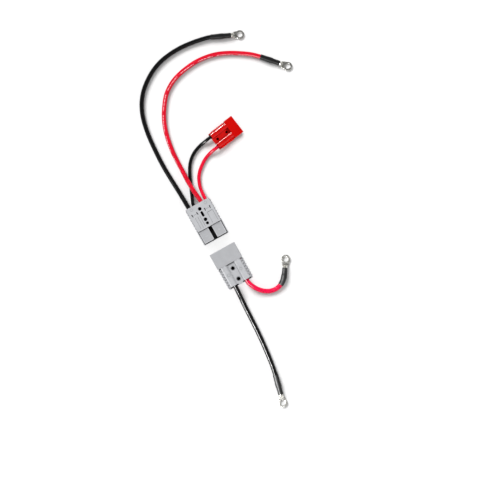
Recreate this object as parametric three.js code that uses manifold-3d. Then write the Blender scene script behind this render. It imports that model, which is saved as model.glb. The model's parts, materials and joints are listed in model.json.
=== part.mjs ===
// Quick-connect battery harness with genderless two-pole power connectors, laid out flat.
// Millimetres, +Z up, everything stands on z = 0.
// The harness housing lies hood down with its four cables leaving along +Y. The battery housing
// faces it from -Y, hood up, and slides along +Y to mate. The small charger housing is on the
// short leads. The origin is the middle of the harness housing's flat hood face.

import * as THREE from 'three';
import { mergeVertices } from 'three/addons/utils/BufferGeometryUtils.js';
import Module from 'manifold-3d';

const wasm = await Module();
wasm.setup();

// ------------------------------------------------------------------ driving dimensions

// A connector has its own frame: the mating end is at y = 0 and the rear is at y = -length.
// z = 0 is the tongue side and z = height is the hood side. The negative pole is at x < 0.
const LARGE = {
  length: 64.6,
  width: 45,
  height: 23,
  hoodBlock: 27,          // smooth block that carries the hood
  engagement: 23.4,       // depth of the mating recess
  hoodPlate: 2.5,
  sideWall: 1.7,
  blockChamfer: 1.2,
  bodyHalf: 21.4,         // half width of the rear body between its grip ribs
  bodyChamfer: 0.8,
  shoulderLow: 12.5,      // the grip band slopes from here ...
  shoulderHigh: 17.5,     // ... up to here
  humpOuter: 17.5,        // the humps over the two bores
  humpDrop: 0.6,
  humpBevel: 1.9,
  valleyHalf: 7,
  valleySlope: 0.8,       // the valley is narrower than this half width at its floor
  valleyDepth: 4.8,
  ribCount: 7,
  ribPitch: 5,
  ribWidth: 2.5,
  ribFirst: 30.4,
  ribHeight: 1.1,
  tongueInner: 3.1,
  tongueOuter: 20.1,
  tongueThickness: 3.4,
  tongueSetback: 1.7,
  contactSetback: 2.6,
  stepGroove: 0.8,        // width of the groove across each tongue at the foot of the step
  panelBorder: 1.7,
  barrierHalf: 2.8,
  barrierHeight: 4.5,
  boreInner: 2.9,
  boreOuter: 19.3,
  boreHeight: 12,
  boreDepth: 26.6,
  passageHalf: 6.9,       // half width of the slot that the contact blade passes through
  passageHeight: 12.2,
  contactThickness: 3.25,
  contactWidth: 12.2,
  barrelFront: 42,
  barrelLength: 14.5,
  strip: 7.7,             // a cable's jacket reaches this far into the housing
  springWidth: 9,
  springThickness: 0.5,
  mountingHoles: [36.3, 55.4],
  mountingRadius: 2.5,
  counterboreRadius: 4,
  keySlot: { from: 41.9, to: 50.4, width: 3.1 },
  smallHole: { at: 29.7, radius: 2 },
  webDepth: 14,           // depth of the key slot and the small hole
  notch: 2.6,             // the hood side is cut back this far over each bore at the rear
  latchY: 50.7,
  latchX: [7, 16],
  markY: 43,
  markX: 11,
  markRadius: 2.5,
  ejectorY: 60.1,
  ejectorX: 12.8,
};

const SMALL = {
  length: 47.8,
  width: 32.5,
  height: 15.8,
  hoodBlock: 16.2,
  engagement: 14.6,
  hoodPlate: 2,
  sideWall: 1.4,
  blockChamfer: 0.9,
  bodyHalf: 15.3,
  bodyChamfer: 0.6,
  shoulderLow: 9.4,
  shoulderHigh: 12.4,
  humpOuter: 12.9,
  humpDrop: 0.4,
  humpBevel: 1.5,
  valleyHalf: 4.95,
  valleySlope: 0,
  valleyDepth: 2.6,
  ribCount: 7,
  ribPitch: 3.6,
  ribWidth: 1.9,
  ribFirst: 19.4,
  ribHeight: 0.95,
  tongueInner: 2.6,
  tongueOuter: 14.3,
  tongueThickness: 2.3,
  tongueSetback: 1.2,
  contactSetback: 1.8,
  stepGroove: 0.6,
  panelBorder: 1.2,
  barrierHalf: 2.3,
  barrierHeight: 3,
  boreInner: 4.8,
  boreOuter: 14.4,
  boreHeight: 9,
  boreDepth: 20,
  passageHalf: 4.7,
  passageHeight: 8.6,
  contactThickness: 1.8,
  contactWidth: 8.6,
  barrelFront: 30.6,
  barrelLength: 10.5,
  strip: 6,
  springWidth: 6,
  springThickness: 0.35,
  mountingHoles: [21.8, 40.1],
  mountingRadius: 1.4,
  counterboreRadius: 2.6,
  keySlot: { from: 28, to: 34, width: 2 },
  smallHole: { at: 18, radius: 1.2 },
  webDepth: 9,
  notch: 1.8,
  latchY: 37.5,
  latchX: [6.4, 13],
  markY: 31,
  markX: 8.9,
  markRadius: 1.8,
  ejectorY: 44.5,
  ejectorX: 9.4,
};

const CLEARANCE = 0.3;    // between pieces that meet
const MID_GAP = 0.15;     // each mating piece stays this far from the mid-plane
const MARK_DEPTH = 0.3;
const GROOVE_DEPTH = 1.2;
const LATCH = { width: 1.1, length: 4.2, depth: 1.2 };
const MATING_GAP = 17.7;  // between the two facing mating ends as laid out

const LUG = {
  ringRadius: 7.2,
  holeRadius: 4.3,
  palmThickness: 1.8,
  palmHalf: 5.6,          // half width where the pressed palm begins ...
  palmHalfAtRing: 6.4,    // ... and where it runs into the ring
  wedgeStart: 9,          // distances from the ring's centre back along the barrel
  sleeveEnd: 14.1,
  barrelStart: 12.6,
  barrelEnd: 27,
  boreStart: 15.5,
};

const CHARGER = { centre: [95.9, 110.4], forward: [0.988, 0.154] };

// Cable routes, measured from the middle of the harness housing on the floor. Each runs from the
// end of its jacket inside the housing, along the middle of the cable.
const LONG_BLACK = {
  name: 'long_black',
  diameter: 7.2,
  wire: 4.6,
  step: 16.6,
  sleeve: { outer: 9.2, inner: 8, steps: 2 },
  points: [
    [-15.3, 24.6, 11.5], [-15.3, 30, 11.5], [-15.3, 36, 11.3], [-15.6, 45.8, 9.3],
    [-16, 55.5, 5.7], [-16.4, 65.2, 4.1], [-17.4, 84.5, 3.65], [-18.2, 103.9, 3.6],
    [-18.2, 123.3, 3.6], [-17.2, 142.7, 3.6], [-15.7, 162.2, 3.6], [-12.8, 181.4, 3.6],
    [-8, 200.3, 3.6], [-0.1, 217.7, 3.6], [11.4, 233.3, 3.6], [25.9, 245.9, 3.6],
    [42, 255.9, 3.6], [60.1, 262.9, 3.6], [79.1, 266.2, 3.6], [98, 267, 3.6],
    [117, 265.4, 3.7], [134, 262.5, 4.2], [148, 259, 4.6], [156.9, 255.1, 4.6],
    [168.4, 250.1, 4.6], [180.7, 244.8, 4.6],
  ],
};
const LONG_RED = {
  name: 'long_red',
  diameter: 7.2,
  wire: 4.6,
  step: 16.6,
  sleeve: { outer: 9.2, inner: 8, steps: 2 },
  points: [
    [7.1, 24.6, 11.5], [7.1, 30, 11.5], [7, 36, 11.4], [6, 45.4, 11], [5.1, 55, 10.3],
    [4.8, 64.8, 9.8], [4.5, 74.5, 8.9], [4.9, 84.2, 6.2], [5.1, 94, 4.1], [5.3, 103.6, 3.65],
    [6.1, 123, 3.6], [8.7, 142.4, 3.6], [13.1, 161.5, 3.6], [20.2, 179.5, 3.6],
    [30, 196.1, 3.6], [42.1, 211.5, 3.6], [57.7, 222.9, 3.6], [75.7, 230.1, 3.6],
    [104.2, 234.7, 3.6], [123.1, 234.1, 3.6], [142.1, 230.4, 3.6], [159.9, 223.3, 3.6],
    [176.8, 213.8, 3.7], [193, 202.7, 4.2], [203.6, 193, 4.6], [212.7, 183.2, 4.6],
    [218.4, 176.9, 4.6], [227.4, 166.95, 4.6],
  ],
};
const SHORT_BLACK = {
  name: 'short_black',
  diameter: 5.5,
  wire: 3.4,
  step: 12,
  points: [
    [-6.5, 24.6, 11.5], [-6.5, 31.5, 11.5], [-5.6, 37, 11.1], [-3.2, 42.8, 9.3],
    [-0.3, 50.1, 5.3], [2.6, 57.5, 3], [5.8, 64.6, 2.75], [9.6, 73.6, 2.75],
    [13.6, 82.1, 2.75], [17.7, 89.6, 2.75], [22.3, 96.1, 2.75], [28, 101.9, 2.75],
    [34.6, 106.7, 2.75], [42, 110.3, 2.75], [49.8, 112.9, 2.9], [56.1, 114.2, 4.2],
    [62.8, 115.2, 6.9], [70.8, 116.4, 7.9], [76.7, 117.3, 7.9],
  ],
};
const SHORT_RED = {
  name: 'short_red',
  diameter: 5.5,
  wire: 3.4,
  step: 12,
  points: [
    [15.8, 24.6, 11.5], [15.8, 30, 11.5], [15.6, 36, 11.3], [15.9, 44, 8.8],
    [16.6, 50.4, 5.4], [18, 56.7, 3.2], [20.3, 63, 2.75], [23.2, 68.9, 2.75],
    [26.9, 74.2, 2.75], [31.4, 79, 2.75], [36.4, 83.1, 2.75], [41.6, 86.9, 2.75],
    [47.1, 90.2, 2.75], [53.1, 92.8, 3], [59.2, 94.7, 4.3], [65.9, 95.8, 7],
    [73.8, 97.04, 7.9], [79.7, 97.96, 7.9],
  ],
};
const BATTERY_RED = {
  name: 'battery_red',
  diameter: 7.6,
  wire: 4.8,
  step: 7.2,
  sleeve: { outer: 9.6, inner: 8.4, steps: 4 },
  points: [
    [10.4, -106.9, 11.5], [10.4, -112, 11.5], [10.5, -116.6, 11.4], [11.8, -122.4, 11],
    [15.4, -130.2, 9.4], [20.6, -137.6, 6.7], [27.2, -143.8, 4.6], [34.9, -148, 3.9],
    [43.6, -149.6, 4], [53, -147.9, 4.5], [60.7, -143.5, 4.9], [66.3, -137.7, 4.9],
    [70.2, -132.2, 4.9], [74, -126.75, 4.9],
  ],
};
const BATTERY_BLACK = {
  name: 'battery_black',
  diameter: 7.6,
  wire: 4.8,
  step: 16.6,
  sleeve: { outer: 9.6, inner: 8.4, steps: 2 },
  points: [
    [-10.4, -106.9, 11.5], [-10.4, -112, 11.5], [-10.7, -118, 11.3], [-11.4, -128, 8.8],
    [-12.2, -140, 4.5], [-13, -153.7, 3.8], [-13.8, -174, 3.8], [-14.8, -195, 3.8],
    [-16.5, -217, 3.8], [-18.7, -238.7, 3.8], [-21, -256, 4.2], [-23.5, -269.6, 4.8],
    [-25.5, -277.9, 4.8], [-28.5, -290, 4.8], [-31.7, -303, 4.8],
  ],
};

// Contact barrels in their connector's frame: distance of the barrel from the middle, and its wire.
const HARNESS_NEGATIVE = [{ x: 15.3, cable: LONG_BLACK }, { x: 6.5, cable: SHORT_BLACK }];
const HARNESS_POSITIVE = [{ x: 7.1, cable: LONG_RED }, { x: 15.8, cable: SHORT_RED }];
const BATTERY_NEGATIVE = [{ x: 10.4, cable: BATTERY_BLACK }];
const BATTERY_POSITIVE = [{ x: 10.4, cable: BATTERY_RED }];
const CHARGER_NEGATIVE = [{ x: 9.8, cable: SHORT_BLACK }];
const CHARGER_POSITIVE = [{ x: 9.8, cable: SHORT_RED }];
const BARREL_WALL = 0.8;
const WIRE_GAP = 0.35;    // between a wire and the barrel round it

// ------------------------------------------------------------------ materials

function finish(color, roughness, metalness = 0) {
  return new THREE.MeshStandardMaterial({ color, roughness, metalness });
}

const GREY_PLASTIC = finish(0xc4c5c8, 0.5);
const RED_PLASTIC = finish(0xd0201c, 0.4);
const SILVERED_COPPER = finish(0xcfcac0, 0.3, 1);
const SPRING_STEEL = finish(0xb9bcc0, 0.3, 1);
const TINNED_COPPER = finish(0xc9c6c0, 0.35, 1);
const BARE_COPPER = finish(0xc07a4a, 0.4, 1);
const BLACK_JACKET = finish(0x2a2c2e, 0.45);
const RED_JACKET = finish(0xdd2238, 0.4);
const BLACK_SLEEVE = finish(0x3a3b3d, 0.6);

// ------------------------------------------------------------------ geometry helpers

// A closed solid for cutting and joining.
function solid(geometry) {
  const bare = geometry.clone();
  bare.deleteAttribute('normal');
  bare.deleteAttribute('uv');
  const merged = mergeVertices(bare, 1e-5);
  const mesh = new wasm.Mesh({
    numProp: 3,
    vertProperties: new Float32Array(merged.attributes.position.array),
    triVerts: new Uint32Array(merged.index.array),
  });
  return new wasm.Manifold(mesh);
}

function geometryOf(manifold) {
  const mesh = manifold.getMesh();
  const geometry = new THREE.BufferGeometry();
  geometry.setAttribute('position', new THREE.BufferAttribute(mesh.vertProperties, 3));
  geometry.setIndex(new THREE.BufferAttribute(mesh.triVerts, 1));
  geometry.computeVertexNormals();
  return geometry;
}

function box([x0, x1], [y0, y1], [z0, z1]) {
  const geometry = new THREE.BoxGeometry(x1 - x0, y1 - y0, z1 - z0);
  geometry.translate((x0 + x1) / 2, (y0 + y1) / 2, (z0 + z1) / 2);
  return solid(geometry);
}

// An outline drawn in the plane across one axis, extruded along that axis.
const X = new THREE.Vector3(1, 0, 0);
const Y = new THREE.Vector3(0, 1, 0);
const Z = new THREE.Vector3(0, 0, 1);
const DRAWN_ON = {
  x: [Y, Z, X],                       // outline (y, z)
  y: [X, Z, Y.clone().negate()],      // outline (x, z), extruded towards -Y
  z: [X, Y, Z],                       // outline (x, y)
};

function extruded(outline, axis, from, to, curveSegments = 6) {
  const shape = outline instanceof THREE.Shape
    ? outline
    : new THREE.Shape(outline.map(([a, b]) => new THREE.Vector2(a, b)));
  const options = { depth: to - from, bevelEnabled: false, curveSegments };
  const geometry = new THREE.ExtrudeGeometry(shape, options);
  geometry.applyMatrix4(new THREE.Matrix4().makeBasis(...DRAWN_ON[axis]));
  const start = axis === 'y' ? to : from;
  geometry.translate(axis === 'x' ? start : 0, axis === 'y' ? start : 0, axis === 'z' ? start : 0);
  return solid(geometry);
}

function mirroredOutline(half) {
  const left = half.map(([x, z]) => [-x, z]).reverse();
  return [...half, ...left];
}

function circle(radius, sides = 16, cx = 0, cy = 0) {
  const points = [];
  for (let i = 0; i < sides; i += 1) {
    const angle = ((i + 0.5) * 2 * Math.PI) / sides;
    points.push([cx + radius * Math.cos(angle), cy + radius * Math.sin(angle)]);
  }
  return points;
}

function stadium(x0, x1, z0, z1, sides = 8) {
  const radius = (z1 - z0) / 2;
  const middle = (z0 + z1) / 2;
  const points = [];
  for (let i = 0; i <= sides; i += 1) {
    const angle = -Math.PI / 2 + (i * Math.PI) / sides;
    points.push([x1 - radius + radius * Math.cos(angle), middle + radius * Math.sin(angle)]);
  }
  for (let i = 0; i <= sides; i += 1) {
    const angle = Math.PI / 2 + (i * Math.PI) / sides;
    points.push([x0 + radius + radius * Math.cos(angle), middle + radius * Math.sin(angle)]);
  }
  return points;
}

function union(parts) {
  return parts.reduce((whole, part) => whole.add(part));
}

function difference(whole, parts) {
  return parts.reduce((rest, part) => rest.subtract(part), whole);
}

// ------------------------------------------------------------------ connector housing

function heights(size) {
  const middle = size.height / 2;
  const contactTop = middle - MID_GAP;
  const tongueLow = size.hoodPlate + CLEARANCE;
  return {
    middle,
    contactTop,
    contactLow: contactTop - size.contactThickness,
    tongueLow,
    tongueTop: tongueLow + size.tongueThickness,
    hoodInside: size.height - size.hoodPlate,
    humpTop: size.height - size.humpDrop,
    valleyFloor: size.height - size.valleyDepth,
  };
}

// Rear body: flat tongue side, sloped grip bands, and two humps with a valley between them.
function rearBody(size) {
  const { humpTop, valleyFloor } = heights(size);
  const outline = mirroredOutline([
    [size.bodyHalf - size.bodyChamfer, 0],
    [size.bodyHalf, size.bodyChamfer],
    [size.bodyHalf, size.shoulderLow],
    [size.humpOuter, size.shoulderHigh],
    [size.humpOuter, humpTop - size.humpBevel],
    [size.humpOuter - size.humpBevel, humpTop],
    [size.valleyHalf + size.humpBevel, humpTop],
    [size.valleyHalf, humpTop - size.humpBevel],
    [size.valleyHalf - size.valleySlope, valleyFloor],
  ]);
  return extruded(outline, 'y', -size.length, -size.engagement);
}

// Smooth hood block, hollow at the mating end, with a low barrier down its middle.
function hood(size) {
  const half = size.width / 2;
  const { middle, hoodInside } = heights(size);
  const low = middle + MID_GAP;
  const block = extruded(mirroredOutline([
    [half, low],
    [half, size.height - size.blockChamfer],
    [half - size.blockChamfer, size.height],
  ]), 'y', -size.hoodBlock, 0);
  const inside = half - size.sideWall;
  const hollow = box([-inside, inside], [-size.engagement, 1], [low - 1, hoodInside]);
  const barrier = box(
    [-size.barrierHalf, size.barrierHalf],
    [-size.engagement - 1, -size.contactSetback],
    [hoodInside - size.barrierHeight, hoodInside + 1],
  );
  return block.subtract(hollow).add(barrier);
}

// One tongue, with a groove at the foot of the step and a shallow panel on its outer face that
// frames a raised polarity mark.
function tongue(size, side) {
  const { tongueLow, tongueTop } = heights(size);
  const [x0, x1] = side < 0
    ? [-size.tongueOuter, -size.tongueInner]
    : [size.tongueInner, size.tongueOuter];
  const front = -size.tongueSetback;
  const plate = box([x0, x1], [-size.engagement - 1, front], [tongueLow, tongueTop]);
  const border = size.panelBorder;
  const panel = box(
    [x0 + border, x1 - border],
    [-size.engagement + border, front - border],
    [tongueLow - 1, tongueLow + MARK_DEPTH],
  );
  const groove = box(
    [x0 - 1, x1 + 1],
    [-size.engagement, -size.engagement + size.stepGroove],
    [tongueLow - 1, tongueLow + GROOVE_DEPTH],
  );
  const long = size.contactWidth * 0.18;
  const thin = size.contactWidth * 0.045;
  const cx = (x0 + x1) / 2;
  const cy = -size.engagement / 2;
  const markZ = [tongueLow, tongueLow + 2 * MARK_DEPTH];
  const marks = [box([cx - long, cx + long], [cy - thin, cy + thin], markZ)];
  if (side > 0) {
    marks.push(box([cx - thin, cx + thin], [cy - long, cy + long], markZ));
  }
  return union([difference(plate, [panel, groove]), ...marks]);
}

// Grip ribs cross the sloped band and run down the side.
function gripRibs(size) {
  const slope = new THREE.Vector2(
    size.shoulderHigh - size.shoulderLow,
    size.bodyHalf - size.humpOuter,
  ).normalize().multiplyScalar(size.ribHeight);
  const inset = size.ribHeight / 2;
  const outline = [
    [size.bodyHalf - inset, 2 * size.ribHeight],
    [size.bodyHalf + size.ribHeight, 3.2 * size.ribHeight],
    [size.bodyHalf + size.ribHeight, size.shoulderLow + slope.y / 2],
    [size.humpOuter + slope.x, size.shoulderHigh + slope.y],
    [size.humpOuter - inset, size.shoulderHigh - inset],
    [size.bodyHalf - inset, size.shoulderLow - inset],
  ];
  const ribs = [];
  for (let i = 0; i < size.ribCount; i += 1) {
    const y = -size.ribFirst - i * size.ribPitch;
    const mirrored = outline.map(([x, z]) => [-x, z]).reverse();
    ribs.push(extruded(outline, 'y', y - size.ribWidth / 2, y + size.ribWidth / 2));
    ribs.push(extruded(mirrored, 'y', y - size.ribWidth / 2, y + size.ribWidth / 2));
  }
  return ribs;
}

// For each pole: the wire bore, the slot for the contact blade, and the cut-back at the rear.
function poleCuts(size, side) {
  const { middle, tongueTop } = heights(size);
  const flip = (x0, x1) => (side < 0 ? [-x1, -x0] : [x0, x1]);
  const [boreLeft, boreRight] = flip(size.boreInner, size.boreOuter);
  const halfBore = size.boreHeight / 2;
  const bore = extruded(
    stadium(boreLeft, boreRight, middle - halfBore, middle + halfBore),
    'y', -size.length - 1, -size.length + size.boreDepth,
  );
  const centre = (size.tongueInner + size.tongueOuter) / 2;
  const passage = box(
    flip(centre - size.passageHalf, centre + size.passageHalf),
    [-size.barrelFront - 1.5, -size.engagement + 0.5],
    [tongueTop, size.passageHeight],
  );
  const notch = box(
    flip(size.boreInner + 1.2, size.boreOuter - 1.2),
    [-size.length - 1, -size.length + size.notch],
    [middle, size.height + 1],
  );
  return [bore, passage, notch];
}

// Along the middle: two counterbored mounting holes right through, a key slot and a small hole.
function webCuts(size) {
  const { valleyFloor } = heights(size);
  const cuts = [];
  for (const at of size.mountingHoles) {
    const hole = circle(size.mountingRadius, 16, 0, -at);
    const counterbore = circle(size.counterboreRadius, 20, 0, -at);
    cuts.push(extruded(hole, 'z', -1, size.height + 1));
    cuts.push(extruded(counterbore, 'z', valleyFloor - 0.8, size.height + 1));
  }
  const { from, to, width } = size.keySlot;
  cuts.push(extruded(
    stadium(-to, -from, -width / 2, width / 2, 6).map(([a, b]) => [b, a]).reverse(),
    'z', -1, size.webDepth,
  ));
  const small = size.smallHole;
  cuts.push(extruded(circle(small.radius, 12, 0, -small.at), 'z', -1, size.webDepth));
  return cuts;
}

// Small features: latch slots and moulding circles on the tongue side, circles on the humps.
function surfaceCuts(size) {
  const { humpTop } = heights(size);
  const cuts = [];
  for (const side of [-1, 1]) {
    for (const latchX of size.latchX) {
      const x = side * latchX;
      cuts.push(box(
        [x - LATCH.width / 2, x + LATCH.width / 2],
        [-size.latchY - LATCH.length / 2, -size.latchY + LATCH.length / 2],
        [-1, LATCH.depth],
      ));
    }
    const ejector = circle(size.markRadius, 16, side * size.ejectorX, -size.ejectorY);
    cuts.push(extruded(ejector, 'z', -1, MARK_DEPTH));
    const mark = circle(size.markRadius, 16, side * size.markX, -size.markY);
    cuts.push(extruded(mark, 'z', humpTop - MARK_DEPTH, humpTop + 1));
  }
  return cuts;
}

function housing(size) {
  const body = union([rearBody(size), hood(size), tongue(size, -1), tongue(size, 1),
    ...gripRibs(size)]);
  return geometryOf(difference(body, [
    ...poleCuts(size, -1),
    ...poleCuts(size, 1),
    ...webCuts(size),
    ...surfaceCuts(size),
  ]));
}

// ------------------------------------------------------------------ contacts and springs

function contactCentre(size) {
  return (size.tongueInner + size.tongueOuter) / 2;
}

// A flat blade with a rounded nose, a shoulder plate, and one crimp barrel for each wire.
function contact(size, side, barrels) {
  const { middle, contactLow, contactTop } = heights(size);
  const centre = side * contactCentre(size);
  const half = size.contactWidth / 2;
  const nose = -size.contactSetback;
  const soft = size.contactThickness / 3;
  const blade = extruded([
    [-size.barrelFront, contactLow],
    [nose - 2 * soft, contactLow],
    [nose, contactLow + soft],
    [nose, contactTop - soft],
    [nose - soft, contactTop],
    [-size.barrelFront, contactTop],
  ], 'x', centre - half, centre + half);
  const xs = barrels.map(({ x }) => side * x);
  const reach = 2;
  const shoulder = box(
    [Math.min(...xs, centre - half + reach) - reach, Math.max(...xs, centre + half - reach) + reach],
    [-size.barrelFront - 1, -size.barrelFront + 3],
    [contactLow, contactTop],
  );
  const tubes = [];
  const hollows = [];
  for (const { x, cable } of barrels) {
    const inner = cable.wire / 2 + WIRE_GAP;
    const rear = -size.barrelFront - size.barrelLength;
    const ring = (radius) => circle(radius, 16, side * x, middle);
    tubes.push(extruded(ring(inner + BARREL_WALL), 'y', rear, -size.barrelFront));
    hollows.push(extruded(ring(inner), 'y', rear - 1, -size.barrelFront - 1.2));
  }
  return geometryOf(difference(union([blade, shoulder, ...tubes]), hollows));
}

// A bowed leaf spring between the tongue and the contact blade.
function leafSpring(size, side) {
  const { tongueTop, contactLow } = heights(size);
  const room = contactLow - tongueTop - size.springThickness - 2 * CLEARANCE;
  const rear = -size.length + size.boreDepth + 1;
  const front = -size.engagement / 3.5;
  const steps = 8;
  const under = [];
  const over = [];
  for (let i = 0; i <= steps; i += 1) {
    const y = rear + ((front - rear) * i) / steps;
    const z = tongueTop + CLEARANCE + room * Math.sin((Math.PI * i) / steps);
    under.push([y, z]);
    over.unshift([y, z + size.springThickness]);
  }
  const centre = side * contactCentre(size);
  const half = size.springWidth / 2;
  return geometryOf(extruded([...under, ...over], 'x', centre - half, centre + half));
}

// The stripped end of a wire inside a contact barrel.
function contactWire(size, side, { x, cable }) {
  const { middle } = heights(size);
  const section = circle(cable.wire / 2, 12, side * x, middle);
  const rear = -size.length + size.strip + CLEARANCE;
  return geometryOf(extruded(section, 'y', rear, -size.barrelFront - 1.2 - CLEARANCE));
}

// ------------------------------------------------------------------ cables and their ends

function curveThrough(points) {
  const curve = new THREE.CatmullRomCurve3(
    points.map((point) => new THREE.Vector3(...point)), false, 'centripetal',
  );
  curve.arcLengthDivisions = 1200;
  return curve;
}

// The part of a curve between two distances along it.
function stretch(curve, from, to) {
  const total = curve.getLength();
  const spacing = 4;
  const count = Math.ceil((to - from) / spacing);
  const points = [];
  for (let i = 0; i <= count; i += 1) {
    const along = from + ((to - from) * i) / count;
    points.push(curve.getPointAt(Math.min(along / total, 1)).toArray());
  }
  return curveThrough(points);
}

function swept(curve, steps, radius, innerRadius = 0) {
  const shape = new THREE.Shape(circle(radius, 10).map((p) => new THREE.Vector2(...p)));
  if (innerRadius > 0) {
    shape.holes.push(new THREE.Path(circle(innerRadius, 10).map((p) => new THREE.Vector2(...p))));
  }
  return new THREE.ExtrudeGeometry(shape, { steps, extrudePath: curve, bevelEnabled: false });
}

// A route is divided into equal steps. The sleeve covers the last few, and the jacket stops
// half a sleeve short of the end, so both bend at the same places.
function divided(cable) {
  const route = curveThrough(cable.points);
  const count = Math.round(route.getLength() / cable.step);
  return { route, count, spacing: route.getLength() / count };
}

function jacket(cable) {
  const { route, count, spacing } = divided(cable);
  const steps = cable.sleeve ? count - cable.sleeve.steps / 2 : count;
  return swept(stretch(route, 0, steps * spacing), steps, cable.diameter / 2);
}

function sleeve(cable) {
  const { route, count, spacing } = divided(cable);
  const { outer, inner, steps } = cable.sleeve;
  const part = stretch(route, (count - steps) * spacing, count * spacing);
  return swept(part, steps, outer / 2, inner / 2);
}

// A lug has its own frame: the ring's centre at the origin, at the barrel's height, with the
// cable arriving from -Y.
function lug(cable) {
  const barrelRadius = cable.wire / 2 + WIRE_GAP + BARREL_WALL + 0.05;
  const low = -barrelRadius;
  const top = low + LUG.palmThickness;
  const ring = extruded(circle(LUG.ringRadius, 24), 'z', low, top);
  const palm = extruded([
    [-0.9 * barrelRadius, -LUG.barrelStart - 1],
    [0.9 * barrelRadius, -LUG.barrelStart - 1],
    [LUG.palmHalf, -LUG.wedgeStart],
    [LUG.palmHalfAtRing, -LUG.ringRadius + LUG.holeRadius],
    [-LUG.palmHalfAtRing, -LUG.ringRadius + LUG.holeRadius],
    [-LUG.palmHalf, -LUG.wedgeStart],
  ], 'z', low, top);
  const ramp = extruded([
    [-LUG.wedgeStart, low],
    [-LUG.wedgeStart, top],
    [-LUG.barrelStart, barrelRadius],
    [-LUG.barrelStart - 1, barrelRadius],
    [-LUG.barrelStart - 1, low],
  ].reverse(), 'x', -barrelRadius, barrelRadius);
  const round = extruded(circle(barrelRadius, 16), 'y', -LUG.barrelEnd, 0);
  const barrel = extruded(circle(barrelRadius, 16), 'y', -LUG.barrelEnd, -LUG.barrelStart);
  const wireHole = extruded(
    circle(barrelRadius - BARREL_WALL, 16), 'y', -LUG.barrelEnd - 1, -LUG.boreStart,
  );
  const studHole = extruded(circle(LUG.holeRadius, 20), 'z', low - 1, top + 1);
  const whole = union([ring, palm, ramp.intersect(round), barrel]);
  return geometryOf(difference(whole, [wireHole, studHole]));
}

function lugWire(cable) {
  const section = circle(cable.wire / 2, 12);
  return geometryOf(extruded(section, 'y', -LUG.barrelEnd, -LUG.boreStart - CLEARANCE));
}

// ------------------------------------------------------------------ assembly

function piece(name, geometry, material) {
  const mesh = new THREE.Mesh(geometry, material);
  mesh.name = name;
  return mesh;
}

function connector(name, size, plastic, negative, positive) {
  const group = new THREE.Group();
  group.add(piece(`${name}_housing`, housing(size), plastic));
  for (const [pole, side, barrels] of [['negative', -1, negative], ['positive', 1, positive]]) {
    const label = `${name}_${pole}`;
    group.add(piece(`${label}_contact`, contact(size, side, barrels), SILVERED_COPPER));
    group.add(piece(`${label}_spring`, leafSpring(size, side), SPRING_STEEL));
    for (const barrel of barrels) {
      const wireName = `${barrel.cable.name}_${name}_wire`;
      group.add(piece(wireName, contactWire(size, side, barrel), BARE_COPPER));
    }
  }
  return group;
}

function lead(cable, colour) {
  const group = new THREE.Group();
  group.add(piece(`${cable.name}_cable`, jacket(cable), colour));
  if (cable.sleeve) {
    group.add(piece(`${cable.name}_sleeve`, sleeve(cable), BLACK_SLEEVE));
    const { route } = divided(cable);
    const end = route.getPointAt(1);
    const along = route.getTangentAt(1);
    const terminal = new THREE.Group();
    terminal.add(piece(`${cable.name}_lug`, lug(cable), TINNED_COPPER));
    terminal.add(piece(`${cable.name}_lug_wire`, lugWire(cable), BARE_COPPER));
    terminal.rotation.z = Math.atan2(along.y, along.x) - Math.PI / 2;
    terminal.position.copy(end).addScaledVector(along, LUG.sleeveEnd);
    terminal.position.z = end.z;
    group.add(terminal);
  }
  return group;
}

const harness = connector('harness', LARGE, GREY_PLASTIC, HARNESS_NEGATIVE, HARNESS_POSITIVE);
harness.rotation.x = Math.PI;
harness.position.set(0, -LARGE.length / 2, LARGE.height);

const battery = connector('battery', LARGE, GREY_PLASTIC, BATTERY_NEGATIVE, BATTERY_POSITIVE);
battery.position.set(0, -LARGE.length / 2 - MATING_GAP, 0);

const charger = connector('charger', SMALL, RED_PLASTIC, CHARGER_NEGATIVE, CHARGER_POSITIVE);
charger.rotation.z = Math.atan2(CHARGER.forward[1], CHARGER.forward[0]) - Math.PI / 2;
charger.position.set(
  CHARGER.centre[0] + (CHARGER.forward[0] * SMALL.length) / 2,
  CHARGER.centre[1] + (CHARGER.forward[1] * SMALL.length) / 2,
  0,
);

const layout = new THREE.Group();
layout.add(harness, battery, charger);
layout.add(lead(LONG_BLACK, BLACK_JACKET), lead(LONG_RED, RED_JACKET));
layout.add(lead(SHORT_BLACK, BLACK_JACKET), lead(SHORT_RED, RED_JACKET));
layout.add(lead(BATTERY_BLACK, BLACK_JACKET), lead(BATTERY_RED, RED_JACKET));
layout.position.y = (LARGE.length - LARGE.hoodBlock) / 2;

const group = new THREE.Group();
group.add(layout);

export default group;
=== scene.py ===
"""Looks of the quick-connect battery harness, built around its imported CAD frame.

Shapes are drawn in millimetres in the frame of the piece they belong to, and placed in the row
frame, in metres, when they become objects. A connector's own frame has its mating end at y = 0,
its rear at y = -length, its tongue side at z = 0 and its hood side at z = height.
"""

import json
import math
from types import SimpleNamespace

import bmesh
import bpy
from mathutils import Matrix, Vector, noise

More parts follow.
